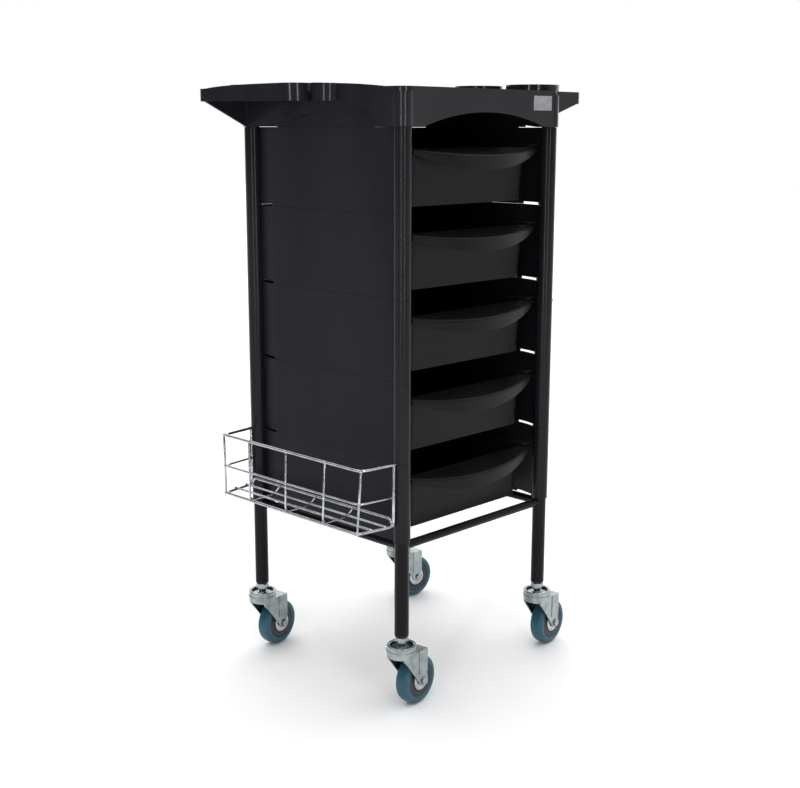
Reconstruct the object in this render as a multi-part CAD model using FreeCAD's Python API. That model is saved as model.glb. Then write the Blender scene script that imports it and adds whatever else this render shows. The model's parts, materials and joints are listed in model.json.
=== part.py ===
import FreeCAD, Part
import math
import os

os.makedirs("parts", exist_ok=True)
Vec = FreeCAD.Vector

# Millimetres. +Z is up, the floor is z = 0, and the drawers open towards -Y.
# The origin is on the floor under the middle of the overall box. The four posts
# stand symmetrically about (post_centre_x, post_centre_y).

# --- driving dimensions -------------------------------------------------------
post_centre_x = 10.0
post_centre_y = -2.2
post_half = 164.7          # post axis from the middle of the four, both ways
post_r = 11.0
post_bore_r = 9.5
leg_end = 117.5            # underside of the plug in each post
plug_flange = 4.0
post_top = 905.0
fit_gap = 0.1              # between pieces of one body that slip together
body_gap = 0.5             # between pieces of different bodies

bar_r = 6.5
bar_z = 260.7

stack_bottom = 267.5
stack_top = 872.7
module_count = 5
seam_gap = 0.35
sleeve_r = 12.9
panel_outer = 170.5        # outer plane of a side panel from the middle
panel_t = 2.8
panel_bend_y = 106.0       # where the flat of a side panel ends, both ways
panel_return_x = 156.0     # its outer surface at the sleeve where it curves in
panel_flush_x = 168.0      # and at the other sleeve
slot_len = 38.0            # open slot at the foot of a panel, where it curves in
slot_h = 3.6
back_y = 167.0
back_t = 2.6

tray_half = 178.7
tray_corner_r = 20.0
tray_foot = 873.0
tray_rim = 928.0
tray_wall = 3.0
deck_top = 923.0
deck_under = 920.0
wing_foot = 909.5
wing_wall_y = 165.0        # plane of each wing's straight end wall
wing_reach_left = 270.0
wing_reach_right = 250.0
wing_corner_r = 12.0
right_gusset_root = 892.0
crown_rise = 7.0           # how far the left edge's rim rises, midway along it
front_arch_rise = 21.0
well_floor = 897.0

drawer_rise = 8.0          # underside of a drawer above the foot of its module
drawer_h = 83.0
drawer_wall = 2.2
rim_half = 138.0
rim_t = 3.0
tub_half_top = 132.5
tub_half_foot = 131.0
tub_front_top = 148.0
tub_front_foot = 141.5
tub_rear_top = 146.0
tub_rear_foot = 138.0
tub_corner_r = 14.0
rim_rear = 150.0
lip_end_y = 160.0
lip_bulge = 28.7
lip_end_h = 9.0
lip_mid_h = 31.0
lip_mid_dip = 9.0
lip_t = 2.6
drawer_stations = 9

wheel_r = 38.0
wheel_half_w = 12.0
castor_trail = 35.0
castor_angles = {"front_left": 7.0, "rear_left": 9.0, "front_right": 6.0, "rear_right": -6.0}

basket_rim_z = 389.5
basket_mid_z = 339.5
basket_floor_z = 295.0
basket_out_x = 242.0       # rim's outer run, from the middle of the posts
basket_in_x = 181.5
basket_half_y = 158.0
basket_taper = 5.0         # each end leans in by this much at the floor
inner_wire_lift = 11.0     # inner long wire above the floor hoop
inner_wire_dip = 12.0      # length of the dip at each of its ends
floor_wire_lift = 2.9
floor_wires_x = (-197.0, -222.0)
wire_r = 2.3
thin_wire_r = 1.7

module_pitch = (stack_top - stack_bottom) / module_count
posts = {
    "front_left": (-post_half, -post_half),
    "rear_left": (-post_half, post_half),
    "front_right": (post_half, -post_half),
    "rear_right": (post_half, post_half),
}
up = Vec(0, 0, 1)
along_x = Vec(1, 0, 0)
along_y = Vec(0, 1, 0)


# --- helpers ------------------------------------------------------------------
def box(x0, x1, y0, y1, z0, z1):
    return Part.makeBox(x1 - x0, y1 - y0, z1 - z0, Vec(x0, y0, z0))


def rod(r, start, end):
    line = end.sub(start)
    return Part.makeCylinder(r, line.Length, start, line)


def disc(r, x, y, z0, z1):
    return Part.makeCylinder(r, z1 - z0, Vec(x, y, z0), up)


def ring(r_out, r_in, x, y, z0, z1):
    return disc(r_out, x, y, z0, z1).cut(disc(r_in, x, y, z0 - 1, z1 + 1))


def join(shapes):
    return shapes[0].multiFuse(shapes[1:]).removeSplitter()


def prism(points, direction):
    return Part.Face(Part.makePolygon(points + [points[0]])).extrude(direction)


def turned(profile, x, y):
    """Solid of revolution about the vertical through (x, y); profile is (r, z) pairs."""
    points = [Vec(r, 0, z) for r, z in profile]
    face = Part.Face(Part.makePolygon(points + [points[0]]))
    solid = face.revolve(Vec(0, 0, 0), up, 360)
    solid.translate(Vec(x, y, 0))
    return solid


def rounded_plan(x0, x1, y0, y1, r, z):
    corner = r * (1 - math.sqrt(0.5))
    edges = []
    turns = [
        (Vec(x1 - r, y0, z), Vec(x1 - corner, y0 + corner, z), Vec(x1, y0 + r, z)),
        (Vec(x1, y1 - r, z), Vec(x1 - corner, y1 - corner, z), Vec(x1 - r, y1, z)),
        (Vec(x0 + r, y1, z), Vec(x0 + corner, y1 - corner, z), Vec(x0, y1 - r, z)),
        (Vec(x0, y0 + r, z), Vec(x0 + corner, y0 + corner, z), Vec(x0 + r, y0, z)),
    ]
    for i, (start, middle, end) in enumerate(turns):
        edges.append(Part.Arc(start, middle, end).toShape())
        edges.append(Part.makeLine(end, turns[(i + 1) % 4][0]))
    return Part.Wire(edges)


def rounded_block(x0, x1, y0, y1, r, z0, z1):
    return Part.Face(rounded_plan(x0, x1, y0, y1, r, z0)).extrude(Vec(0, 0, z1 - z0))


def save(shape, name):
    placed = shape.copy()
    placed.translate(Vec(post_centre_x, post_centre_y, 0))
    placed.exportStep("parts/" + name + ".step")
    solids = len(placed.Solids)
    print(name, "valid" if placed.isValid() else "INVALID", solids, round(placed.Volume))


# --- frame: posts, plugs and lower bars ---------------------------------------
peg_z = 597.0
peg_r = 3.0
peg_len = 6.45
screw_r = 2.0


def side_hole(x, y, z, r):
    """Round hole from a post's axis out through its sleeve."""
    side = 1 if x > 0 else -1
    return rod(r + fit_gap, Vec(x, y, z), Vec(x + side * (sleeve_r + 1), y, z))


def side_holes(name, x, y):
    if x < 0:
        return [side_hole(x, y, basket_rim_z, wire_r)]
    return [side_hole(x, y, peg_z, screw_r)] if name == "front_right" else []


def make_post(name):
    x, y = posts[name]
    tube = ring(post_r, post_bore_r, x, y, leg_end + plug_flange, post_top)
    holes = side_holes(name, x, y)
    return tube.cut(holes) if holes else tube


plug_depth = 28.0
stem_r = 6.0


def make_plug(x, y):
    rounding = 3.0
    outer = [
        (stem_r + fit_gap, leg_end),
        (post_r - rounding, leg_end),
        (post_r - rounding * 0.3, leg_end + rounding * 0.4),
        (post_r, leg_end + rounding),
        (post_r, leg_end + plug_flange),
        (post_bore_r - fit_gap, leg_end + plug_flange),
        (post_bore_r - fit_gap, leg_end + plug_depth),
        (stem_r + fit_gap, leg_end + plug_depth),
    ]
    return turned(outer, x, y)


def make_bar(start, end):
    bar = rod(bar_r, start, end)
    coped = [disc(post_r, p.x, p.y, bar_z - 20, bar_z + 20) for p in (start, end)]
    return bar.cut(coped)


# --- side modules: panel, two post sleeves and a drawer runner on each side -------
runner_in = 134.2
runner_t = 2.6
keeper_clear = 0.6
web_in = rim_half + 2.2    # upright wall of the channel, outside the drawer's rim
web_t = 2.4


def module_levels(level):
    foot = stack_top - module_pitch * level
    return foot, foot + module_pitch - seam_gap


def panel_plan(z):
    """Right panel from above: it curves in to the front sleeve and runs flush to the rear one."""
    faces = []
    for inset in (0.0, panel_t):
        x = panel_outer - inset
        ends = []
        for y, end_x in ((-1, panel_return_x - inset), (1, panel_flush_x - inset)):
            middle = Vec(end_x + (x - end_x) * 0.72, y * (panel_bend_y + post_half) / 2, z)
            ends.append((Vec(end_x, y * post_half, z), middle, Vec(x, y * panel_bend_y, z)))
        faces.append(ends)
    edges = []
    for front, rear in faces:
        edges += [Part.Arc(*front).toShape(), Part.makeLine(front[2], rear[2]), Part.Arc(*rear).toShape()]
    for end in (0, 1):
        edges.append(Part.makeLine(faces[0][end][0], faces[1][end][0]))
    return Part.Face(Part.Wire(Part.__sortEdges__(edges)))


def foot_slot(z):
    """Cutter for the open slot at the foot of a right-hand wall, beside the front sleeve."""
    y0 = -(post_half - sleeve_r)
    return box(panel_return_x - panel_t - 1, panel_outer + 1, y0, y0 + slot_len, z - 1, z + slot_h)


def half_turn(shape):
    turned_shape = shape.copy()
    turned_shape.rotate(Vec(0, 0, 0), up, 180)
    return turned_shape


def make_side_module(side, level):
    """The left module is the right one given a half turn."""
    foot, head = module_levels(level)
    rim_top = foot + drawer_rise + drawer_h
    parts = [panel_plan(foot).extrude(Vec(0, 0, head - foot))]
    for y in (-post_half, post_half):
        parts.append(disc(sleeve_r, post_half, y, foot, head))
    # channel that the drawer's rim slides in: a ledge below and a keeper above
    reach = post_half - sleeve_r - 1.0
    ledge_top = rim_top - rim_t - body_gap
    keeper_foot = rim_top + body_gap + keeper_clear
    for z0, z1 in ((ledge_top - runner_t, ledge_top), (keeper_foot, keeper_foot + runner_t)):
        parts.append(box(runner_in, panel_return_x - 1, -reach, reach, z0, z1))
        parts.append(box(runner_in, panel_outer - 1, -panel_bend_y, panel_bend_y, z0, z1))
    parts.append(box(web_in, web_in + web_t, -reach, reach, ledge_top - 1, keeper_foot + 1))
    shape = join(parts)
    cuts = [disc(post_r + fit_gap, post_half, y, foot - 1, head + 1) for y in (-post_half, post_half)]
    cuts.append(foot_slot(foot))
    if side < 0:
        cuts += [side_hole(post_half, y, basket_rim_z, wire_r) for y in (-post_half, post_half)]
    else:
        cuts.append(side_hole(post_half, -post_half, peg_z, screw_r))
    shape = shape.cut(cuts)
    return shape if side > 0 else half_turn(shape)


def make_back_panel(level):
    foot, head = module_levels(level)
    reach = post_half - sleeve_r - fit_gap
    plate = box(-reach, reach, back_y - back_t, back_y, foot, head)
    # three upright ribs on the inner face
    rib_depth = 3.0
    ribs = [box(x - 1.5, x + 1.5, back_y - back_t - rib_depth, back_y - back_t + 0.5, foot + 6, head - 6)
            for x in (-75.0, 0.0, 75.0)]
    return join([plate] + ribs)


# --- top tray -------------------------------------------------------------------
wing_root_x = -150.0
# left wing's side, from its tip to the first lobe
wing_edge = [(-270.0, 138.0), (-261.0, 92.0), (-243.0, 55.0), (-230.0, 27.0)]
lobe_mid_1 = (-221.2, 3.8)
lobe_valley = (-190.5, -3.5)
lobe_mid_2 = (-195.3, -40.3)
lobe_end = (-tray_half, -47.0)


def wing_plan(reach, inset, z):
    """Left wing seen from above: a straight end wall, and a side that ends in two round lobes.

    inset shrinks it evenly. The root lies inside the tray."""
    tip = -(reach - inset)
    wall = wing_wall_y - inset
    r = max(wing_corner_r - inset, 2.0)
    corner = r * (1 - math.sqrt(0.5))
    stretch = (reach - tray_half) / (wing_reach_left - tray_half)

    def place(point, in_x, in_y):
        return Vec(-tray_half + (point[0] + tray_half) * stretch + in_x * inset, point[1] + in_y * inset, z)

    edge = [place(point, 1.0, 0.0) for point in wing_edge]
    slant = math.sqrt(0.5)
    valley = place(lobe_valley, slant, slant)
    end = place(lobe_end, 0.0, 1.0)
    root = Vec(wing_root_x, end.y, z)
    spline = Part.BSplineCurve()
    spline.interpolate(edge)
    edges = [
        Part.makeLine(Vec(wing_root_x, wall, z), Vec(tip + r, wall, z)),
        Part.Arc(Vec(tip + r, wall, z), Vec(tip + corner, wall - corner, z), Vec(tip, wall - r, z)).toShape(),
        Part.makeLine(Vec(tip, wall - r, z), edge[0]),
        spline.toShape(),
        Part.Arc(edge[-1], place(lobe_mid_1, slant, slant), valley).toShape(),
        Part.Arc(valley, place(lobe_mid_2, slant, slant), end).toShape(),
        Part.makeLine(end, root),
        Part.makeLine(root, Vec(wing_root_x, wall, z)),
    ]
    return Part.Face(Part.Wire(edges))


def wing_block(side, inset, z0, z1):
    reach = wing_reach_left if side < 0 else wing_reach_right
    block = wing_plan(reach, inset, z0).extrude(Vec(0, 0, z1 - z0))
    return block if side < 0 else half_turn(block)


def wing_gusset(side):
    """Straight end wall under a wing, sloping from the post's collar out to the tip."""
    reach = wing_reach_left if side < 0 else wing_reach_right
    root = tray_foot if side < 0 else right_gusset_root
    face = [
        Vec(-tray_half + 5, wing_wall_y, root),
        Vec(-tray_half - 1, wing_wall_y, root),
        Vec(-reach + wing_corner_r, wing_wall_y, wing_foot + 0.5),
        Vec(-reach + wing_corner_r, wing_wall_y, wing_foot + 4),
        Vec(-tray_half + 5, wing_wall_y, wing_foot + 4),
    ]
    wall = prism(face, Vec(0, -tray_wall, 0))
    return wall if side < 0 else half_turn(wall)


crown_front = -150.0
crown_rear = 150.0


def left_crown():
    """Extra height of the rim along the left edge: an even band with an arched top."""
    low = tray_rim - 1.0
    high = tray_rim + crown_rise
    band = wing_block(-1, 0, low, high).cut(wing_block(-1, tray_wall, low - 1, high + 1))
    band = band.fuse(box(-tray_half, -tray_half + tray_wall, crown_front, lobe_end[1] + tray_wall, low, high))
    x0, x1 = -wing_reach_left - 1, -tray_half + tray_wall
    foot = tray_rim - 0.5
    front, rear = Vec(x0, crown_front, foot), Vec(x0, crown_rear, foot)
    top = Part.Arc(front, Vec(x0, (crown_front + crown_rear) / 2, high), rear)
    base = [rear, rear - up, front - up, front]
    wire = Part.Wire([top.toShape()] + [Part.makeLine(a, b) for a, b in zip(base, base[1:])])
    return band.common(Part.Face(wire).extrude(Vec(x1 - x0, 0, 0)))


lip_skin = 1.2
lip_drop = 4.0
lip_reach = panel_bend_y - 4.0


def tray_collar():
    """Walls inside the skirt that carry the side and back panels on up to the deck."""
    reach = post_half - sleeve_r
    top = deck_under + 1
    right = box(panel_outer - panel_t, panel_outer, -reach, reach, tray_foot, top).cut(foot_slot(tray_foot))
    rear = box(-reach, reach, back_y - back_t, back_y, tray_foot, top)
    # a thin lip hangs behind each seam so that it doesn't show light
    face = panel_outer - panel_t - body_gap
    lips = [box(face - lip_skin, face, -lip_reach, lip_reach, tray_foot - lip_drop, tray_foot + lip_drop)]
    lips.append(box(face - lip_skin, face + 1, -lip_reach, lip_reach, tray_foot + body_gap, tray_foot + lip_drop))
    back_face = back_y - back_t - body_gap
    rear_lips = [box(-lip_reach, lip_reach, back_face - lip_skin, back_face, tray_foot - lip_drop,
                     tray_foot + lip_drop)]
    rear_lips.append(box(-lip_reach, lip_reach, back_face - lip_skin, back_face + 1, tray_foot + body_gap,
                         tray_foot + lip_drop))
    right = join([right] + lips)
    return [right, half_turn(right), join([rear] + rear_lips)]


def front_arch(rise):
    half = 136.0
    radius = (half * half + rise * rise) / (2 * rise)
    centre = Vec(0, -tray_half - 1, tray_foot + rise - radius)
    arch = Part.makeCylinder(radius, tray_wall + 2, centre, along_y)
    return arch.common(box(-half, half, -tray_half - 2, -tray_half + tray_wall + 2, tray_foot - 1, tray_rim))


def side_arch():
    """Arch in the left skirt, highest near the front where the wing runs out."""
    outline = [(134, 873), (101, 877), (30, 889), (-36, 900), (-72, 903), (-104, 897), (-126, 884), (-138, 873)]
    x = -tray_half - 1
    spline = Part.BSplineCurve()
    spline.interpolate([Vec(x, y, z) for y, z in outline])
    first, last = outline[0], outline[-1]
    below = tray_foot - 5
    corners = [Vec(x, *last), Vec(x, last[0], below), Vec(x, first[0], below), Vec(x, *first)]
    wire = Part.Wire([spline.toShape()] + [Part.makeLine(a, b) for a, b in zip(corners, corners[1:])])
    return Part.Face(wire).extrude(Vec(tray_wall + 2, 0, 0))


dryer_hole = (-218.0, 92.0, 34.0)      # x, y, radius in the left wing
bowl_hole = (193.0, -108.0, 40.0)      # in the right wing, partly over the tray
cup_hole = (158.0, -24.0, 36.0)        # behind it
tool_holes = [(-152.0, -104.0, 11.0), (-152.0, -66.0, 11.0), (-152.0, -28.0, 11.0)]
collar_t = 3.0
collar_top = {"dryer": 933.0, "bowl": 939.0, "cup": 938.0}
cup_depth = 26.0
well_x = (-126.0, 88.0)
well_y = (-118.0, 118.0)


def make_tray():
    h = tray_half
    skin = tray_wall
    core = rounded_block(-h, h, -h, h, tray_corner_r, tray_foot, tray_rim)
    solid = [core]
    for side in (-1, 1):
        solid.append(wing_block(side, 0, wing_foot, tray_rim))
        solid.append(wing_gusset(side))
    body = join(solid)
    inner = h - skin
    hollow = [rounded_block(-inner, inner, -inner, inner, tray_corner_r - skin, tray_foot - 1, deck_under)]
    for side in (-1, 1):
        hollow.append(wing_block(side, skin, wing_foot - 1, deck_under).cut(core))
    bead = 4.0
    edge = h - bead
    recess = [rounded_block(-edge, edge, -edge, edge, tray_corner_r - bead, deck_top, tray_rim + 1)]
    recess += [wing_block(side, bead, deck_top, tray_rim + 1) for side in (-1, 1)]
    body = body.cut(join(recess)).cut(hollow)
    # well, holders and post sockets stand inside the skirt
    x0, x1 = well_x
    y0, y1 = well_y
    add = [rounded_block(x0 - skin, x1 + skin, y0 - skin, y1 + skin, 20.0, well_floor, deck_top)]
    for (x, y, r), top in ((dryer_hole, "dryer"), (bowl_hole, "bowl"), (cup_hole, "cup")):
        low = deck_top - cup_depth if top == "cup" else wing_foot + 1
        add.append(disc(r + collar_t, x, y, low, collar_top[top]))
    for x, y, r in tool_holes:
        add.append(disc(r + 2.0, x, y, wing_foot, deck_top + 2))
    for x, y in posts.values():
        add.append(disc(post_r + 4.0, x, y, tray_foot, deck_under + 1))
    add.append(left_crown())
    add += tray_collar()
    body = join([body] + add)
    take = [rounded_block(x0, x1, y0, y1, 17.0, well_floor + skin, tray_rim + 1)]
    for x, y, r in (dryer_hole, bowl_hole):
        take.append(disc(r, x, y, wing_foot, tray_rim + 20))
    x, y, r = cup_hole
    take.append(disc(r, x, y, deck_top - cup_depth + skin, tray_rim + 20))
    for x, y, r in tool_holes:
        take.append(disc(r, x, y, tray_foot, tray_rim + 5))
    for x, y in posts.values():
        take.append(disc(post_r + fit_gap, x, y, tray_foot - 1, post_top + 0.3))
    for cutter in (front_arch(front_arch_rise), side_arch()):
        take += [cutter, half_turn(cutter)]
    for x, y in posts.values():
        take.append(tray_screw_hole(x, y))
    body = body.cut(take)
    # raised border on the front fascia
    proud = 1.0
    line = 2.4
    z0, z1 = 900.0, tray_rim - 1.5
    x_end = h - tray_corner_r + 4
    border = [
        box(-x_end, x_end, -h - proud, -h + 1, z1 - line, z1),
        box(x_end - line, x_end, -h - proud, -h + 1, z0, z1),
    ]
    return join([body] + border)


tray_screw_z = 896.0


def inward(x, y):
    return Vec(-x, -y, 0).normalize()


def tray_screw_hole(x, y):
    start = Vec(x, y, tray_screw_z)
    return rod(1.7, start, start + inward(x, y) * 20)


def make_tray_screw(x, y):
    start = Vec(x, y, tray_screw_z)
    way = inward(x, y)
    face = post_r + 4.0
    shank = rod(1.6, start + way * (post_r + fit_gap), start + way * (face + 1))
    head = rod(3.4, start + way * face, start + way * (face + 2.2))
    return shank.fuse(head)


def make_label():
    z0, z1 = 898.0, 920.0
    plate = box(108.0, 152.0, -tray_half - 0.8, -tray_half, z0, z1)
    return plate


# --- drawers ----------------------------------------------------------------------
def lip_section(x, rim_z):
    """Hooded cross-section of the pull at x, open underneath for the fingers."""
    s = 1 - (x / rim_half) ** 2
    front = -(lip_end_y + lip_bulge * s)
    crest = rim_z - lip_mid_dip * s
    low = rim_z - (lip_end_h + (lip_mid_h - lip_end_h) * s)
    back = -tub_front_top + drawer_wall
    r = 5.0
    k = r * (1 - math.sqrt(0.5))
    t = lip_t
    a = Vec(x, back, rim_z)
    b = Vec(x, front + r, crest)
    b_mid = Vec(x, front + k, crest - k)
    c = Vec(x, front, crest - r)
    d = Vec(x, front, low)
    e = Vec(x, front + t, low)
    f = Vec(x, front + t, crest - r)
    f_mid = Vec(x, front + t + k * 0.5, crest - t - k * 0.5)
    g = Vec(x, front + r, crest - t)
    h = Vec(x, back, rim_z - t)
    edges = [
        Part.makeLine(a, b),
        Part.Arc(b, b_mid, c).toShape(),
        Part.makeLine(c, d),
        Part.makeLine(d, e),
        Part.makeLine(e, f),
        Part.Arc(f, f_mid, g).toShape(),
        Part.makeLine(g, h),
        Part.makeLine(h, a),
    ]
    return Part.Wire(edges)


def make_drawer(level):
    foot, _ = module_levels(level)
    low = foot + drawer_rise
    top = low + drawer_h
    w = drawer_wall
    wall_top = top - 1.0
    outer = Part.makeLoft([
        rounded_plan(-tub_half_foot, tub_half_foot, -tub_front_foot, tub_rear_foot, tub_corner_r, low),
        rounded_plan(-tub_half_top, tub_half_top, -tub_front_top, tub_rear_top, tub_corner_r, wall_top),
    ], True, True)
    inner = Part.makeLoft([
        rounded_plan(-tub_half_foot + w, tub_half_foot - w, -tub_front_foot + w, tub_rear_foot - w,
                     tub_corner_r - w, low + w),
        rounded_plan(-tub_half_top + w, tub_half_top - w, -tub_front_top + w, tub_rear_top - w,
                     tub_corner_r - w, top + 0.5),
    ], True, True)
    flange_front = -tub_front_top + w - 0.4
    flange = box(-rim_half, rim_half, flange_front, rim_rear, top - rim_t, top)
    stations = [rim_half * (2 * i / (drawer_stations - 1) - 1) for i in range(drawer_stations)]
    lip = Part.makeLoft([lip_section(x, top) for x in stations], True, False)
    return join([outer.cut(inner), flange.cut(inner), lip.cut(inner)])


# --- castors ------------------------------------------------------------------------
fork_top = 90.0
fork_plate = 3.0
cup_top = 105.0
cup_r = 22.5
fork_in = 15.0
fork_side_t = 2.4
fork_rear = 7.5            # trailing edge of the cheeks behind the axle
strip_w = 13.0
strip_foot = 52.0
axle_r = 4.0
running_gap = 0.06
hub_r = 27.0
cap_r = 16.5
cap_proud = 1.8


def castor_place(shape, name):
    x, y = posts[name]
    placed = shape.copy()
    placed.rotate(Vec(0, 0, 0), up, castor_angles[name])
    placed.translate(Vec(x, y, 0))
    return placed


def make_stem():
    """Threaded stem with its collar, the fixed race and the riveted foot."""
    foot = 81.0
    profile = [
        (0, foot), (9.0, foot), (9.0, fork_top - fork_plate - 0.4), (stem_r, fork_top - fork_plate - 0.4),
        (stem_r, fork_top + 0.4), (16.0, fork_top + 0.4), (18.5, fork_top + 3.5), (18.5, 98.0),
        (16.0, 101.5), (9.0, 101.5), (9.0, 102.5), (stem_r, 102.5), (stem_r, leg_end + 24.0),
        (0, leg_end + 24.0),
    ]
    return turned(profile, 0, 0)


def make_hex_nut(x, y):
    nut_half = 9.2
    corner = nut_half / math.cos(math.radians(30))
    z0 = 108.0
    points = [Vec(corner * math.cos(math.radians(a)), corner * math.sin(math.radians(a)), z0)
              for a in range(15, 375, 60)]
    nut = prism(points, Vec(0, 0, leg_end - z0))
    nut = nut.cut(disc(stem_r + fit_gap, 0, 0, z0 - 1, leg_end + 1))
    trim = turned([(0, z0), (corner - 1.6, z0), (corner + 0.2, z0 + 1.6), (corner + 0.2, leg_end - 1.6),
                   (corner - 1.6, leg_end), (0, leg_end)], 0, 0)
    nut = nut.common(trim)
    nut.translate(Vec(x, y, 0))
    return nut


def fork_side(y0, y1):
    """One cheek: slanted leading edge, upright trailing edge, round boss at the axle."""
    boss_r = 9.0
    lean = Vec(castor_trail + 0.5, 0, wheel_r)
    outline = [
        Vec(-14.0, y0, fork_top), Vec(-14.0, y0, 84.0), Vec(castor_trail - 7.0, y0, wheel_r - 6.0),
        Vec(castor_trail, y0, wheel_r - boss_r), Vec(castor_trail + fork_rear, y0, wheel_r - 2.0),
        Vec(castor_trail + fork_rear, y0, fork_top),
    ]
    cheek = prism(outline, Vec(0, y1 - y0, 0))
    boss = rod(boss_r, Vec(lean.x - 0.5, y0, lean.z), Vec(lean.x - 0.5, y1, lean.z))
    return cheek.fuse(boss)


def make_fork():
    parts = [ring(cup_r, cup_r - 2.0, 0, 0, fork_top - fork_plate, cup_top)]
    parts.append(disc(cup_r, 0, 0, fork_top - fork_plate, fork_top))
    out = fork_in + fork_side_t
    parts.append(box(0, castor_trail + fork_rear, -out, out, fork_top - fork_plate, fork_top))
    parts.append(fork_side(fork_in, out))
    parts.append(fork_side(-out, -fork_in))
    # rolled bead round the cup and the upright strip down each cheek
    parts.append(ring(cup_r + 0.9, cup_r - 1.0, 0, 0, 94.5, 97.5))
    for s in (-1, 1):
        y0, y1 = sorted((s * (out - 0.5), s * (out + 0.9)))
        parts.append(box(castor_trail - strip_w, castor_trail + fork_rear, y0, y1, strip_foot, fork_top))
    fork = join(parts)
    keep_inside = disc(cup_r - 2.0, 0, 0, fork_top, cup_top + 1)
    bores = [
        keep_inside,
        disc(stem_r + running_gap, 0, 0, 60, 130),
        rod(axle_r + fit_gap * 0.2, Vec(castor_trail, -30, wheel_r), Vec(castor_trail, 30, wheel_r)),
    ]
    return fork.cut(bores)


def make_axle_bolt():
    out = fork_in + fork_side_t
    axle = Vec(castor_trail, 0, wheel_r)

    def at(y):
        return axle + Vec(0, y, 0)

    shank = rod(axle_r, at(-out), at(out + 4.5))
    head = rod(6.2, at(-out - 3.2), at(-out - 0.02))
    dome = Part.makeSphere(8.0, at(-out + 2.6))
    head = head.common(dome)
    washer = rod(7.0, at(out + 0.02), at(out + 1.2))
    nut_points = []
    for i in range(6):
        angle = math.radians(60 * i)
        nut_x = castor_trail + 6.6 * math.cos(angle)
        nut_points.append(Vec(nut_x, out + 1.2, wheel_r + 6.6 * math.sin(angle)))
    nut = prism(nut_points, Vec(0, 3.6, 0))
    return join([shank, head, washer, nut])


def revolve_wheel(profile):
    """Profile is (r, y) pairs, turned about the axle."""
    points = [Vec(castor_trail + r, y, wheel_r) for r, y in profile]
    face = Part.Face(Part.makePolygon(points + [points[0]]))
    return face.revolve(Vec(castor_trail, 0, wheel_r), along_y, 360)


def make_hub():
    w = wheel_half_w
    bore = axle_r + running_gap
    profile = [
        (bore, -14.2), (7.5, -14.2), (7.5, -9.0), (18.0, -9.0), (19.5, -10.6), (25.5, -10.6),
        (hub_r, -w + 2.2), (hub_r, -4.0), (29.0, -2.5), (29.0, 2.5), (hub_r, 4.0), (hub_r, w - 2.2),
        (25.5, 10.6), (19.5, 10.6), (18.0, 9.0), (7.5, 9.0), (7.5, 14.2), (bore, 14.2),
    ]
    return revolve_wheel(profile)


def make_tyre():
    w = wheel_half_w
    profile = [
        (hub_r + 0.02, -w + 2.2), (hub_r + 1.5, -w + 0.4), (31.0, -w), (34.0, -w + 0.3), (36.6, -w + 2.4),
        (37.7, -w + 5.5), (wheel_r, -3.0), (wheel_r, 3.0), (37.7, w - 5.5), (36.6, w - 2.4), (34.0, w - 0.3),
        (31.0, w), (hub_r + 1.5, w - 0.4), (hub_r + 0.02, w - 2.2), (hub_r + 0.02, 4.0), (29.02, 2.5),
        (29.02, -2.5), (hub_r + 0.02, -4.0),
    ]
    return revolve_wheel(profile)


def make_caps():
    hole = 7.6
    w = 9.0
    rise = [(hole, w + 0.05), (cap_r, w + 0.05), (cap_r, w + 2.6), (cap_r - 1.5, w + 3.9), (12.0, w + 4.6),
            (hole, w + 4.9)]
    near = revolve_wheel([(r, -y) for r, y in rise])
    far = revolve_wheel(rise)
    return Part.makeCompound([near, far])


# --- side basket -----------------------------------------------------------------------
pin_in = 3.0               # how far the rim's ends reach in past the post's outside


def wire_path(points, r):
    """Round wire through straight runs, with a ball at each bend."""
    solids = [rod(r, a, b) for a, b in zip(points, points[1:])]
    solids += [Part.makeSphere(r, p) for p in points]
    return solids


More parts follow.
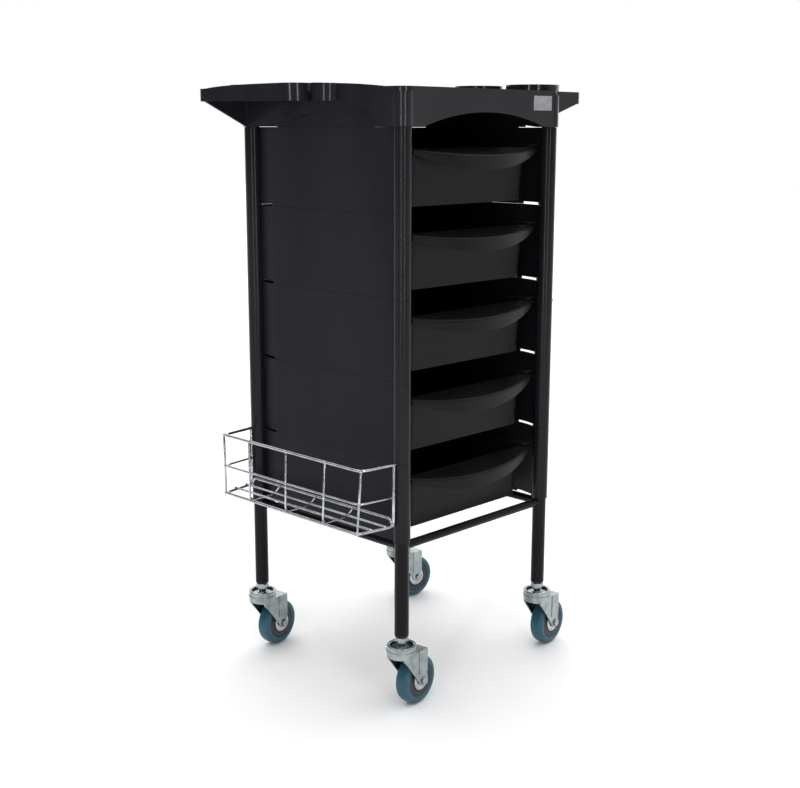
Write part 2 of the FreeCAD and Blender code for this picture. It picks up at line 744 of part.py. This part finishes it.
def make_basket():
    out_x = -basket_out_x
    in_x = -basket_in_x
    half = basket_half_y
    end = post_half
    foot_half = half - basket_taper
    foot_end = end - 1.0
    foot_x = out_x - 3.0
    z_rim, z_mid, z_foot = basket_rim_z, basket_mid_z, basket_floor_z
    solids = []
    # three hoops: rim, middle and floor, each open on the trolley's side. The rim's ends
    # are pins in the posts, and the middle's just pass the uprights
    pin_x = -post_half - post_r + pin_in
    stub_x = -post_half - sleeve_r - 1.2
    for z, share, r, tail_x in ((z_rim, 0.0, wire_r, pin_x), (z_mid, 0.5, thin_wire_r, stub_x),
                                (z_foot, 1.0, wire_r, in_x)):
        y_out = half + (foot_half - half) * share
        x_out = out_x + (foot_x - out_x) * share
        y_in = end + (foot_end - end) * share
        hoop = [Vec(in_x, -y_in, z), Vec(x_out, -y_out, z), Vec(x_out, y_out, z), Vec(in_x, y_in, z)]
        solids += wire_path(hoop, r)
        if tail_x > in_x:
            solids += [rod(r, Vec(in_x, s * y_in, z), Vec(tail_x, s * y_in, z)) for s in (-1, 1)]
    # uprights on the outer side, each running on under the floor to the inner wire
    for y in (-1.0, -0.515, 0.04, 0.6, 1.0):
        top = Vec(out_x, y * half, z_rim)
        foot = Vec(foot_x, y * foot_half, z_foot)
        run = [top, foot]
        if abs(y) < 1:
            run += [Vec(floor_wires_x[0] + 3.0, y * foot_half, z_foot + 0.6),
                    Vec(in_x, y * foot_half, z_foot + inner_wire_lift)]
        solids += wire_path(run, thin_wire_r)
    # end uprights beside the posts
    for s in (-1, 1):
        solids += wire_path([Vec(in_x, s * end, z_rim), Vec(in_x, s * foot_end, z_foot)], wire_r)
    # long floor wires; the inner one is raised, and dips to the hoop at its ends
    for x in floor_wires_x:
        reach = foot_half + (foot_end - foot_half) * (x - foot_x) / (in_x - foot_x)
        solids += wire_path([Vec(x, -reach, z_foot + floor_wire_lift), Vec(x, reach, z_foot + floor_wire_lift)],
                            thin_wire_r)
    dip = foot_end - inner_wire_dip
    z_up = z_foot + inner_wire_lift
    solids += wire_path([Vec(in_x, -foot_end, z_foot), Vec(in_x, -dip, z_up), Vec(in_x, dip, z_up),
                         Vec(in_x, foot_end, z_foot)], wire_r)
    return join(solids)


def make_side_peg():
    y = -post_half
    root = post_half + sleeve_r + 0.05
    shank = rod(screw_r, Vec(post_half + post_bore_r + 0.5, y, peg_z), Vec(root, y, peg_z))
    head = rod(peg_r, Vec(root, y, peg_z), Vec(root + peg_len, y, peg_z))
    return shank.fuse(head)


# --- write every piece --------------------------------------------------------------------
for post_name in posts:
    save(make_post(post_name), "post_" + post_name)
save(Part.makeCompound([make_plug(x, y) for x, y in posts.values()]), "post_end_plugs")

p = post_half
save(make_bar(Vec(-p, -p, bar_z), Vec(p, -p, bar_z)), "lower_bar_front")
save(make_bar(Vec(-p, p, bar_z), Vec(p, p, bar_z)), "lower_bar_rear")
save(make_bar(Vec(-p, -p, bar_z), Vec(-p, p, bar_z)), "lower_bar_left")
save(make_bar(Vec(p, -p, bar_z), Vec(p, p, bar_z)), "lower_bar_right")

for level in range(1, module_count + 1):
    save(make_side_module(-1, level), "left_side_module_%d" % level)
    save(make_side_module(1, level), "right_side_module_%d" % level)
    save(make_back_panel(level), "back_panel_%d" % level)
    save(make_drawer(level), "drawer_%d" % level)

save(make_tray(), "tray_top")
save(Part.makeCompound([make_tray_screw(x, y) for x, y in posts.values()]), "tray_screws")
save(make_label(), "label_plate")

save(make_basket(), "side_basket")
save(make_side_peg(), "side_peg")

save(Part.makeCompound([make_hex_nut(x, y) for x, y in posts.values()]), "castor_nuts")
for post_name in posts:
    save(castor_place(make_stem(), post_name), "castor_stem_" + post_name)
    save(castor_place(make_fork(), post_name), "castor_fork_" + post_name)
    save(castor_place(make_axle_bolt(), post_name), "axle_bolt_" + post_name)
    save(castor_place(make_hub(), post_name), "wheel_hub_" + post_name)
    save(castor_place(make_tyre(), post_name), "tyre_" + post_name)
    save(castor_place(make_caps(), post_name), "dust_caps_" + post_name)
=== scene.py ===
import bpy
import bmesh
import json
import math
from mathutils import Matrix, Vector


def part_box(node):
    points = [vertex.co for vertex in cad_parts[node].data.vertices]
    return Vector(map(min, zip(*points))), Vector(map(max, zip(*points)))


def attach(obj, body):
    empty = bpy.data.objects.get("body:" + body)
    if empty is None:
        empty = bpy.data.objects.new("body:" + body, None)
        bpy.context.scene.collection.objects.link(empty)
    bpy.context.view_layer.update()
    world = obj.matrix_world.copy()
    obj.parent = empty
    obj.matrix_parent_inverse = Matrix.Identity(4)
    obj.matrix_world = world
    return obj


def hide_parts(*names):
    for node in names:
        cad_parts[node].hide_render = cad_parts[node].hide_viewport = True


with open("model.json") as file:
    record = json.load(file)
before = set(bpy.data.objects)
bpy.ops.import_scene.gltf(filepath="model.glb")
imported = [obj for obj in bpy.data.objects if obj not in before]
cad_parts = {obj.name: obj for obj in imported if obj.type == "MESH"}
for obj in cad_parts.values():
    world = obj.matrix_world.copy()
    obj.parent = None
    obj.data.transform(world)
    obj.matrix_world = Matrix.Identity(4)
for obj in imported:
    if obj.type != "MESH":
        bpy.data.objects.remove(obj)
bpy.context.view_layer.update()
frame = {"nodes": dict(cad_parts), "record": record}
scene = bpy.context.scene
nodes = frame["nodes"]
mm = 0.001
print("frame loaded:", len(nodes), "nodes")


# A node's output that takes part in plain arithmetic
class Wire:
    def __init__(self, graph, socket):
        self.graph = graph
        self.socket = socket

    def sum(self, operation, a, b):
        return self.graph.node("ShaderNodeMath", {"operation": operation}, {0: a, 1: b})

    def __add__(self, other):
        return self.sum("ADD", self, other)

    def __radd__(self, other):
        return self.sum("ADD", other, self)

    def __sub__(self, other):
        return self.sum("SUBTRACT", self, other)

    def __rsub__(self, other):
        return self.sum("SUBTRACT", other, self)

    def __mul__(self, other):
        return self.sum("MULTIPLY", self, other)

    def __rmul__(self, other):
        return self.sum("MULTIPLY", other, self)

    def band(self, low, high):
        # 0 below low, 1 above high, eased between
        return self.graph.node("ShaderNodeMapRange", {"interpolation_type": "SMOOTHSTEP"},
                               {"Value": self, "From Min": low, "From Max": high})


# Nodes being wired, for a material or for the world
class Graph:
    def __init__(self, tree):
        self.tree = tree
        self.tree.nodes.clear()

    def node(self, kind, settings=None, values=None, out=0):
        made = self.tree.nodes.new(kind)
        for key, value in (settings or {}).items():
            setattr(made, key, value)
        for key, value in (values or {}).items():
            self.feed(made.inputs[key], value)
        return Wire(self, made.outputs[out])

    def feed(self, socket, value):
        if isinstance(value, Wire):
            self.tree.links.new(value.socket, socket)
        else:
            socket.default_value = value

    def vector(self, operation, a, b, out="Vector"):
        return self.node("ShaderNodeVectorMath", {"operation": operation}, {0: a, 1: b}, out=out)


class Finish(Graph):
    def __init__(self, name):
        self.material = bpy.data.materials.new(name)
        self.material.use_nodes = True
        super().__init__(self.material.node_tree)
        self.place = self.node("ShaderNodeTexCoord", out="Object")

    def stretched(self, x, y, z):
        return self.vector("MULTIPLY", self.place, (x, y, z))

    def noise(self, size, detail=2.0, rough=0.5, at=None):
        # size is the width of one lump in metres
        values = {"Vector": at or self.place, "Scale": 1 / size, "Detail": detail, "Roughness": rough}
        return self.node("ShaderNodeTexNoise", {}, values)

    def cells(self, size):
        values = {"Vector": self.place, "Scale": 1 / size}
        return self.node("ShaderNodeTexVoronoi", {"feature": "F1"}, values)

    def tint(self, mask, a, b):
        return self.node("ShaderNodeMix", {"data_type": "RGBA"}, {0: mask, 6: a, 7: b}, out=2)

    def edges(self, radius):
        # 1 along the outside edges, 0 on the flats
        soft = self.node("ShaderNodeBevel", {"samples": 4}, {"Radius": radius})
        true = self.node("ShaderNodeNewGeometry", out="Normal")
        return (1 - self.vector("DOT_PRODUCT", soft, true, out="Value")).band(0.01, 0.16)

    def nearAxes(self, middle, reach, low, high):
        # 1 on and near four upright axes, set squarely round the middle
        off = self.vector("SUBTRACT", self.place, middle)
        away = self.node("ShaderNodeVectorMath", {"operation": "ABSOLUTE"}, {0: off})
        flat = self.vector("MULTIPLY", self.vector("SUBTRACT", away, (reach, reach, 0)), (1, 1, 0))
        distance = self.node("ShaderNodeVectorMath", {"operation": "LENGTH"}, {0: flat}, out="Value")
        return 1 - distance.band(low, high)

    def shade(self, colour, roughness, relief=None, depth=0.0, **fixed):
        # relief is a height from 0 to 1, depth its size in metres; fixed are the shader's own numbers
        shader = self.tree.nodes.new("ShaderNodeBsdfPrincipled")
        self.feed(shader.inputs["Base Color"], colour)
        self.feed(shader.inputs["Roughness"], roughness)
        for name, value in fixed.items():
            self.feed(shader.inputs[name.replace("_", " ")], value)
        if relief is not None:
            values = {"Height": relief, "Distance": depth, "Strength": 1.0}
            self.feed(shader.inputs["Normal"], self.node("ShaderNodeBump", {}, values))
        end = self.tree.nodes.new("ShaderNodeOutputMaterial")
        self.tree.links.new(shader.outputs[0], end.inputs["Surface"])
        return self.material


def shadeOf(r, g, b):
    # a colour from its screen values, 0 to 255
    linear = [((v / 255 + 0.055) / 1.055) ** 2.4 if v > 10 else v / 255 / 12.92 for v in (r, g, b)]
    return (*linear, 1.0)


# The four posts stand squarely: their middle, and how far each is from it
corners = ("front_left", "rear_left", "front_right", "rear_right")
postBoxes = [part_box("post_" + corner) for corner in corners]
postSpots = [(low + high) / 2 for low, high in postBoxes]
postMiddle = (sum(spot.x for spot in postSpots) / 4, sum(spot.y for spot in postSpots) / 4, 0.0)
postReach = max(spot.x for spot in postSpots) - postMiddle[0]

powderLook = {"colour": (9, 10, 12), "dull": (15, 16, 18), "gloss": 0.24,
              "peel": 1.6 * mm, "peelDepth": 0.012 * mm, "cloud": 60 * mm, "dust": 0.5 * mm}


def powderCoat():
    f = Finish("powderCoat")
    peel = f.noise(powderLook["peel"], detail=1.0)
    cloud = f.noise(powderLook["cloud"], detail=4.0)
    dust = f.noise(powderLook["dust"], detail=2.0).band(0.66, 0.78)
    worn = cloud.band(0.35, 0.75) * 0.5 + dust * 0.25
    colour = f.tint(worn, shadeOf(*powderLook["colour"]), shadeOf(*powderLook["dull"]))
    roughness = powderLook["gloss"] + cloud * 0.10 + dust * 0.15
    return f.shade(colour, roughness, peel, powderLook["peelDepth"], Specular_IOR_Level=0.12,
                   Coat_Weight=0.06, Coat_Roughness=0.12)


def mouldedPlastic(name, look):
    f = Finish(name)
    grain = f.noise(look["grain"], detail=2.0, rough=0.6)
    pits = f.cells(look["grain"] * 1.7)
    flow = f.noise(90 * mm, detail=3.0, at=f.stretched(1.0, 1.0, 0.35))
    rub = f.noise(7 * mm, detail=5.0, rough=0.7).band(0.55, 0.80)
    worn = f.edges(look["edge"]) * (0.45 + rub * 0.55)
    colour = f.tint(flow.band(0.30, 0.70), shadeOf(*look["dark"]), shadeOf(*look["light"]))
    colour = f.tint(worn * look["wear"], colour, shadeOf(*look["rubbed"]))
    roughness = look["gloss"] + flow * 0.10 + grain * 0.08 - rub * 0.07 - worn * 0.10
    if "sleeve" in look:
        sleeve = f.nearAxes(postMiddle, postReach, 13.0 * mm, 15.5 * mm)
        roughness = roughness - sleeve * (look["gloss"] - look["sleeve"])
    relief = grain * 0.7 + pits * 0.5
    return f.shade(colour, roughness, relief, look["depth"], Specular_IOR_Level=look["shine"])


moduleLook = {"dark": (20, 21, 24), "light": (27, 28, 31), "rubbed": (62, 64, 68), "grain": 0.55 * mm,
              "depth": 0.030 * mm, "gloss": 0.42, "sleeve": 0.06, "edge": 0.8 * mm, "wear": 0.35,
              "shine": 0.14}
drawerLook = {"dark": (16, 17, 18), "light": (22, 23, 24), "rubbed": (55, 57, 60), "grain": 0.40 * mm,
              "depth": 0.016 * mm, "gloss": 0.32, "edge": 0.8 * mm, "wear": 0.30, "shine": 0.12}
trayLook = {"dark": (24, 24, 28), "light": (31, 31, 36), "rubbed": (70, 72, 78), "grain": 0.40 * mm,
            "depth": 0.006 * mm, "gloss": 0.08, "edge": 0.9 * mm, "wear": 0.35, "shine": 0.32}
plugLook = {"dark": (24, 24, 26), "light": (32, 32, 34), "rubbed": (70, 71, 73), "grain": 0.50 * mm,
            "depth": 0.020 * mm, "gloss": 0.45, "edge": 0.5 * mm, "wear": 0.3, "shine": 0.45}
hubLook = {"dark": (40, 35, 37), "light": (52, 46, 48), "rubbed": (92, 86, 86), "grain": 0.45 * mm,
           "depth": 0.020 * mm, "gloss": 0.38, "edge": 0.5 * mm, "wear": 0.3, "shine": 0.5}
pegLook = {"dark": (128, 130, 132), "light": (148, 150, 152), "rubbed": (175, 176, 178),
           "grain": 0.40 * mm, "depth": 0.015 * mm, "gloss": 0.40, "edge": 0.4 * mm, "wear": 0.4,
           "shine": 0.5}

metalLook = {
    "zinc": {"bright": (168, 176, 177), "dull": (128, 136, 138), "gloss": 0.10,
             "fleck": 2.4 * mm, "depth": 0.008 * mm, "ripple": 2.5},
    "chrome": {"bright": (196, 198, 202), "dull": (150, 152, 157), "gloss": 0.10,
               "fleck": 4.0 * mm, "depth": 0.004 * mm, "ripple": 0.5},
    "cap": {"bright": (205, 206, 210), "dull": (170, 172, 177), "gloss": 0.20,
            "fleck": 3.0 * mm, "depth": 0.006 * mm, "ripple": 2.0},
    "label": {"bright": (172, 174, 178), "dull": (140, 142, 146), "gloss": 0.30,
              "fleck": 5.0 * mm, "depth": 0.004 * mm, "ripple": 0.5},
}


def platedMetal(name, brush=(1, 1, 1)):
    # brush stretches the fine lines along one axis
    look = metalLook[name]
    f = Finish(name)
    fleck = f.cells(look["fleck"])
    lines = f.noise(0.35 * mm, detail=2.0, at=f.stretched(*brush))
    haze = f.noise(14 * mm, detail=4.0)
    dullness = haze.band(0.35, 0.70) * 0.7 + fleck * 0.2
    colour = f.tint(dullness, shadeOf(*look["bright"]), shadeOf(*look["dull"]))
    roughness = look["gloss"] + haze * 0.12 + lines * 0.08
    return f.shade(colour, roughness, lines * 0.6 + haze * look["ripple"], look["depth"], Metallic=1.0)


tyreLook = {"colour": (38, 92, 108), "scuffed": (72, 112, 122), "deep": (26, 74, 92), "gloss": 0.38,
            "grain": 0.5 * mm, "grainDepth": 0.03 * mm, "cloud": 9 * mm, "dirt": 3 * mm}


def tyreRubber():
    f = Finish("tyre")
    grain = f.noise(tyreLook["grain"], detail=2.0)
    cloud = f.noise(tyreLook["cloud"], detail=4.0)
    dirt = f.noise(tyreLook["dirt"], detail=6.0, rough=0.7).band(0.52, 0.78)
    colour = f.tint(cloud, shadeOf(*tyreLook["deep"]), shadeOf(*tyreLook["colour"]))
    colour = f.tint(dirt * 0.5, colour, shadeOf(*tyreLook["scuffed"]))
    roughness = tyreLook["gloss"] + cloud * 0.12 + dirt * 0.15
    return f.shade(colour, roughness, grain, tyreLook["grainDepth"], Specular_IOR_Level=0.45)


finishes = {
    "powder_coat": powderCoat(),
    "plug_plastic": mouldedPlastic("plugPlastic", plugLook),
    "module_plastic": mouldedPlastic("modulePlastic", moduleLook),
    "drawer_plastic": mouldedPlastic("drawerPlastic", drawerLook),
    "tray_plastic": mouldedPlastic("trayPlastic", trayLook),
    "hub_plastic": mouldedPlastic("hubPlastic", hubLook),
    "peg": mouldedPlastic("pegPlastic", pegLook),
    "label": platedMetal("label", brush=(0.04, 1, 1)),
    "basket_wire": platedMetal("chrome"),
    "zinc": platedMetal("zinc"),
    "dust_cap": platedMetal("cap"),
    "tyre": tyreRubber(),
}
print("finishes made:", len(finishes))


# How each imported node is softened: bevel width and how sharp an edge has to be, in degrees
softening = {
    "tray_plastic": (0.9 * mm, 35),
    "drawer_plastic": (0.6 * mm, 35),
    "module_plastic": (0.5 * mm, 35),
    "powder_coat": (0.5 * mm, 40),
    "plug_plastic": (0.3 * mm, 40),
    "hub_plastic": (0.4 * mm, 30),
    "zinc": (0.35 * mm, 32),
    "label": (0.3 * mm, 40),
    "peg": (0.4 * mm, 40),
    "dust_cap": (0.25 * mm, 30),
}


weldGap = 0.01 * mm
flatAngle = 0.6


def soften(piece, width, angle):
    weld = piece.modifiers.new("weld", "WELD")
    weld.merge_threshold = weldGap
    flat = piece.modifiers.new("flat", "DECIMATE")
    flat.decimate_type = "DISSOLVE"
    flat.angle_limit = math.radians(flatAngle)
    bevel = piece.modifiers.new("bevel", "BEVEL")
    bevel.width = width
    bevel.segments = 2
    bevel.limit_method = "ANGLE"
    bevel.angle_limit = math.radians(angle)
    bevel.harden_normals = False
    even = piece.modifiers.new("even", "WEIGHTED_NORMAL")
    even.keep_sharp = False
    even.weight = 50


slotOf = {row["node"]: row["material_slot"] for row in frame["record"]["subparts"]}
for nodeName, piece in nodes.items():
    slot = slotOf[nodeName]
    piece.data.materials.clear()
    piece.data.materials.append(finishes[slot])
    if slot in softening:
        soften(piece, *softening[slot])
print("packed nodes finished")


# A modelled piece takes its finish from a slot of the record and moves with one body
def addPiece(shape, name, slot, body):
    mesh = bpy.data.meshes.new(name)
    bmesh.ops.recalc_face_normals(shape, faces=shape.faces)
    shape.to_mesh(mesh)
    shape.free()
    mesh.shade_smooth()
    mesh.materials.append(finishes[slot])
    piece = bpy.data.objects.new(name, mesh)
    scene.collection.objects.link(piece)
    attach(piece, body)
    return piece


# Basket: bent and welded wires
basketLook = {
    "wire": 2.3 * mm, "thin": 1.7 * mm,                 # radii
    "spread": 3.0 * mm, "taper": 5.0 * mm,    # how far the foot stands out, and leans in at its ends
    "pin": 8.8 * mm, "stub": 5.0 * mm,        # ends of the rim and of the waist past the uprights
    "waist": 50.0 * mm, "rimIn": 6.7 * mm, "footIn": 1.0 * mm,
    "lift": 11.0 * mm, "dip": 7.0 * mm,       # inner wire above the floor, and its sloping ends
    "slats": (0.24, 0.64), "slatLift": 2.9 * mm, "slatPast": 3.0 * mm, "slatRise": 0.6 * mm,
    "uprights": (-1.0, -0.515, 0.04, 0.6, 1.0),         # along the outer side, -1 to 1
    "bend": 9.0 * mm, "corner": 14.0 * mm, "bead": 1.25,
    "sides": 14, "steps": 7, "dome": 0.35, "domeSize": 0.62,
}


def roundedRun(points, bend):
    # the same run with its inner corners turned into bends
    path = [points[0]]
    for before, here, after in zip(points, points[1:], points[2:]):
        back, on = before - here, after - here
        reach = min(bend, back.length * 0.48, on.length * 0.48)
        start, end = here + back.normalized() * reach, here + on.normalized() * reach
        for step in range(basketLook["steps"] + 1):
            t = step / basketLook["steps"]
            path.append(start * (1 - t) ** 2 + here * 2 * t * (1 - t) + end * t ** 2)
    return path + [points[-1]]


def addWire(shape, points, r, bend):
    path = roundedRun(points, bend)
    sides = basketLook["sides"]
    ways = [(b - a).normalized() for a, b in zip(path, path[1:])]
    ways = [ways[0]] + [(a + b).normalized() for a, b in zip(ways, ways[1:])] + [ways[-1]]
    across = ways[0].orthogonal().normalized()
    rings = []
    # the ends are slightly domed
    dome, small = r * basketLook["dome"], basketLook["domeSize"]
    stations = [(path[0] - ways[0] * dome, ways[0], small)]
    stations += [(point, way, 1.0) for point, way in zip(path, ways)]
    stations += [(path[-1] + ways[-1] * dome, ways[-1], small)]
    for point, way, share in stations:
        across = (across - way * across.dot(way)).normalized()
        other = way.cross(across)
        ring = []
        for k in range(sides):
            turn = math.tau * k / sides
            out = across * math.cos(turn) + other * math.sin(turn)
            ring.append(shape.verts.new(point + out * r * share))
        rings.append(ring)
    for low, high in zip(rings, rings[1:]):
        for k in range(sides):
            n = (k + 1) % sides
            shape.faces.new((low[k], low[n], high[n], high[k]))
    shape.faces.new(reversed(rings[0]))
    shape.faces.new(rings[-1])


def addBead(shape, place, r):
    bmesh.ops.create_icosphere(shape, subdivisions=2, radius=r, matrix=Matrix.Translation(place))


def makeBasket():
    look = basketLook
    low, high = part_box("side_basket")
    r, thin = look["wire"], look["thin"]
    middleY = (low.y + high.y) / 2
    endY = postReach
    outX = low.x + r + look["spread"]
    inX = high.x - look["pin"]
    rimZ, footZ = high.z - r, low.z + r
    waistZ = rimZ - look["waist"]
    half = endY - look["rimIn"]
    footX, footHalf, footEnd = outX - look["spread"], half - look["taper"], endY - look["footIn"]

    def at(x, y, z):
        return Vector((x, middleY + y, z))

    shape = bmesh.new()
    # rim and waist hoops, whose ends reach in to the posts
    hoopX, hoopHalf, hoopEnd = (outX + footX) / 2, (half + footHalf) / 2, (endY + footEnd) / 2
    pinX, stubX = high.x - r * look["dome"], inX + look["stub"]
    rim = [at(pinX, -endY, rimZ), at(inX, -endY, rimZ), at(outX, -half, rimZ)]
    rim += [at(outX, half, rimZ), at(inX, endY, rimZ), at(pinX, endY, rimZ)]
    addWire(shape, rim, r, look["corner"])
    waist = [at(stubX, -hoopEnd, waistZ), at(hoopX, -hoopHalf, waistZ)]
    waist += [at(hoopX, hoopHalf, waistZ), at(stubX, hoopEnd, waistZ)]
    addWire(shape, waist, thin, look["corner"])
    # one long wire: down beside a post, round the floor and up beside the other post
    floor = [at(inX, -endY, rimZ), at(inX, -footEnd, footZ), at(footX, -footHalf, footZ)]
    floor += [at(footX, footHalf, footZ), at(inX, footEnd, footZ), at(inX, endY, rimZ)]
    addWire(shape, floor, r, look["bend"])
    slatsX = [inX + (footX - inX) * share for share in look["slats"]]
    for share in look["uprights"]:
        top, foot = at(outX, share * half, rimZ), at(footX, share * footHalf, footZ)
        run = [top, foot]
        if abs(share) < 1:
            run += [at(slatsX[0] + look["slatPast"], share * footHalf, footZ + look["slatRise"]),
                    at(inX, share * footHalf, footZ + look["lift"])]
        addWire(shape, run, thin, look["bend"])
        for spot in (top, at(hoopX, share * hoopHalf, waistZ), foot):
            addBead(shape, spot, r * look["bead"])
    for x in slatsX:
        reach = footHalf + (footEnd - footHalf) * (x - footX) / (inX - footX)
        z = footZ + look["slatLift"]
        addWire(shape, [at(x, -reach, z), at(x, reach, z)], thin, look["bend"])
        for side in (-1, 1):
            addBead(shape, at(x, side * reach, z), thin * look["bead"])
    # raised inner wire, dipping to the hoop at its ends
    dip, topZ = footEnd - look["dip"], footZ + look["lift"]
    inner = [at(inX, -footEnd, footZ), at(inX, -dip, topZ), at(inX, dip, topZ), at(inX, footEnd, footZ)]
    addWire(shape, inner, r, look["bend"] / 2)
    basket = addPiece(shape, "basketWires", "basket_wire", "frame")
    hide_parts("side_basket")


makeBasket()
print("basket made")


# Rolled lip round the mouth of each castor's cup
lipLook = {"radius": 20.3 * mm, "tube": 2.5 * mm, "height": 0.9, "below": 1.4 * mm,
           "around": 56, "across": 14}


def makeLip(corner):
    look = lipLook
    low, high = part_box("castor_stem_" + corner)
    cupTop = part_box("castor_fork_" + corner)[1].z
    middle = Vector(((low.x + high.x) / 2, (low.y + high.y) / 2, cupTop - look["below"]))
    shape = bmesh.new()
    loops = []
    for i in range(look["around"]):
        turn = math.tau * i / look["around"]
        out = Vector((math.cos(turn), math.sin(turn), 0))
        loop = []
        for k in range(look["across"]):
            roll = math.tau * k / look["across"]
            r = look["radius"] + look["tube"] * math.cos(roll)
            rise = Vector((0, 0, look["tube"] * look["height"] * math.sin(roll)))
            loop.append(shape.verts.new(middle + out * r + rise))
        loops.append(loop)
    for i, loop in enumerate(loops):
        after = loops[(i + 1) % look["around"]]
        for k in range(look["across"]):
            n = (k + 1) % look["across"]
            shape.faces.new((loop[k], after[k], after[n], loop[n]))
    addPiece(shape, "castorLip_" + corner, "zinc", "castor_" + corner)


for corner in corners:
    makeLip(corner)
print("castor lips made")


# Floor, light and camera
studio = {
    "floorSize": 30.0, "floorGrey": (250, 250, 251), "fibre": 2 * mm, "fibreDepth": 0.02 * mm,
    "backdrop": 1.3, "ceiling": 1.6, "rightWall": 0.5, "room": 0.09, "shown": 1.0,
    "backdropWay": (0.715, 0.699, 0.05), "rightWay": (0.90, -0.42, 0.05), "upWay": (0.0, 0.0, 1.0),
    "stripWidth": 0.09, "stripHeight": 2.0, "stripPower": 14, "stripAim": (0, 0, 0.6),
    "strips": {"stripRight": (-1.08, -2.79, 1.1), "stripLeft": (-2.67, -1.35, 1.1)},
}


def makeFloor():
    mesh = bpy.data.meshes.new("floor")
    shape = bmesh.new()
    bmesh.ops.create_grid(shape, x_segments=4, y_segments=4, size=studio["floorSize"] / 2)
    shape.to_mesh(mesh)
    floor = bpy.data.objects.new("floor", mesh)
    scene.collection.objects.link(floor)
    f = Finish("floorPaper")
    fibre = f.noise(studio["fibre"], detail=3.0)
    paper = f.shade(shadeOf(*studio["floorGrey"]), 0.65 + fibre * 0.1, fibre, studio["fibreDepth"],
                    Specular_IOR_Level=0.2)
    mesh.materials.append(paper)
    floor.location.z = -0.2 * mm    # just clear of the tyres


def addStrip(name, place):
    light = bpy.data.lights.new(name, "AREA")
    light.shape = "RECTANGLE"
    light.size = studio["stripWidth"]
    light.size_y = studio["stripHeight"]
    light.energy = studio["stripPower"]
    holder = bpy.data.objects.new(name, light)
    holder.location = place
    aim = Vector(studio["stripAim"]) - Vector(place)
    holder.rotation_euler = aim.to_track_quat("-Z", "Y").to_euler()
    scene.collection.objects.link(holder)


# Pale all round to look at; as a light it is a bright ceiling and backdrop in a dim room
def makeStudio():
    world = bpy.data.worlds.new("studio")
    scene.world = world
    world.use_nodes = True
    g = Graph(world.node_tree)
    way = g.node("ShaderNodeTexCoord", out="Generated")
    behind = g.vector("DOT_PRODUCT", way, studio["backdropWay"], out="Value").band(0.30, 0.75)
    right = g.vector("DOT_PRODUCT", way, studio["rightWay"], out="Value").band(0.50, 0.95)
    above = g.vector("DOT_PRODUCT", way, studio["upWay"], out="Value").band(0.55, 0.80)
    light = studio["room"] + behind * studio["backdrop"] + above * studio["ceiling"]
    light = light + right * studio["rightWall"]
    seen = g.node("ShaderNodeLightPath", out="Is Camera Ray")
    strength = g.node("ShaderNodeMix", {}, {0: seen, 2: light, 3: studio["shown"]})
    glow = g.node("ShaderNodeBackground", {}, {"Color": (1.0, 1.0, 1.0, 1.0), "Strength": strength})
    end = world.node_tree.nodes.new("ShaderNodeOutputWorld")
    world.node_tree.links.new(glow.socket, end.inputs["Surface"])


makeFloor()
makeStudio()
for name, place in studio["strips"].items():
    addStrip(name, place)
scene.view_settings.view_transform = "Standard"

# angles in degrees, lens and sensor in mm
cameraPlace = {"at": (-1.4363, -1.4140, 0.8697), "heading": 45.68, "dip": 11.902, "roll": 0.113,
               "lens": 56.59, "sensor": 36}
lens = bpy.data.cameras.new("camera")
lens.lens = cameraPlace["lens"]
lens.sensor_width = cameraPlace["sensor"]
camera = bpy.data.objects.new("camera", lens)
camera.location = cameraPlace["at"]
turn = Matrix.Rotation(math.radians(-cameraPlace["heading"]), 3, "Z")
turn = turn @ Matrix.Rotation(math.radians(90 - cameraPlace["dip"]), 3, "X")
turn = turn @ Matrix.Rotation(math.radians(cameraPlace["roll"]), 3, "Z")
camera.rotation_euler = turn.to_euler()
scene.collection.objects.link(camera)
scene.camera = camera
print("camera set")
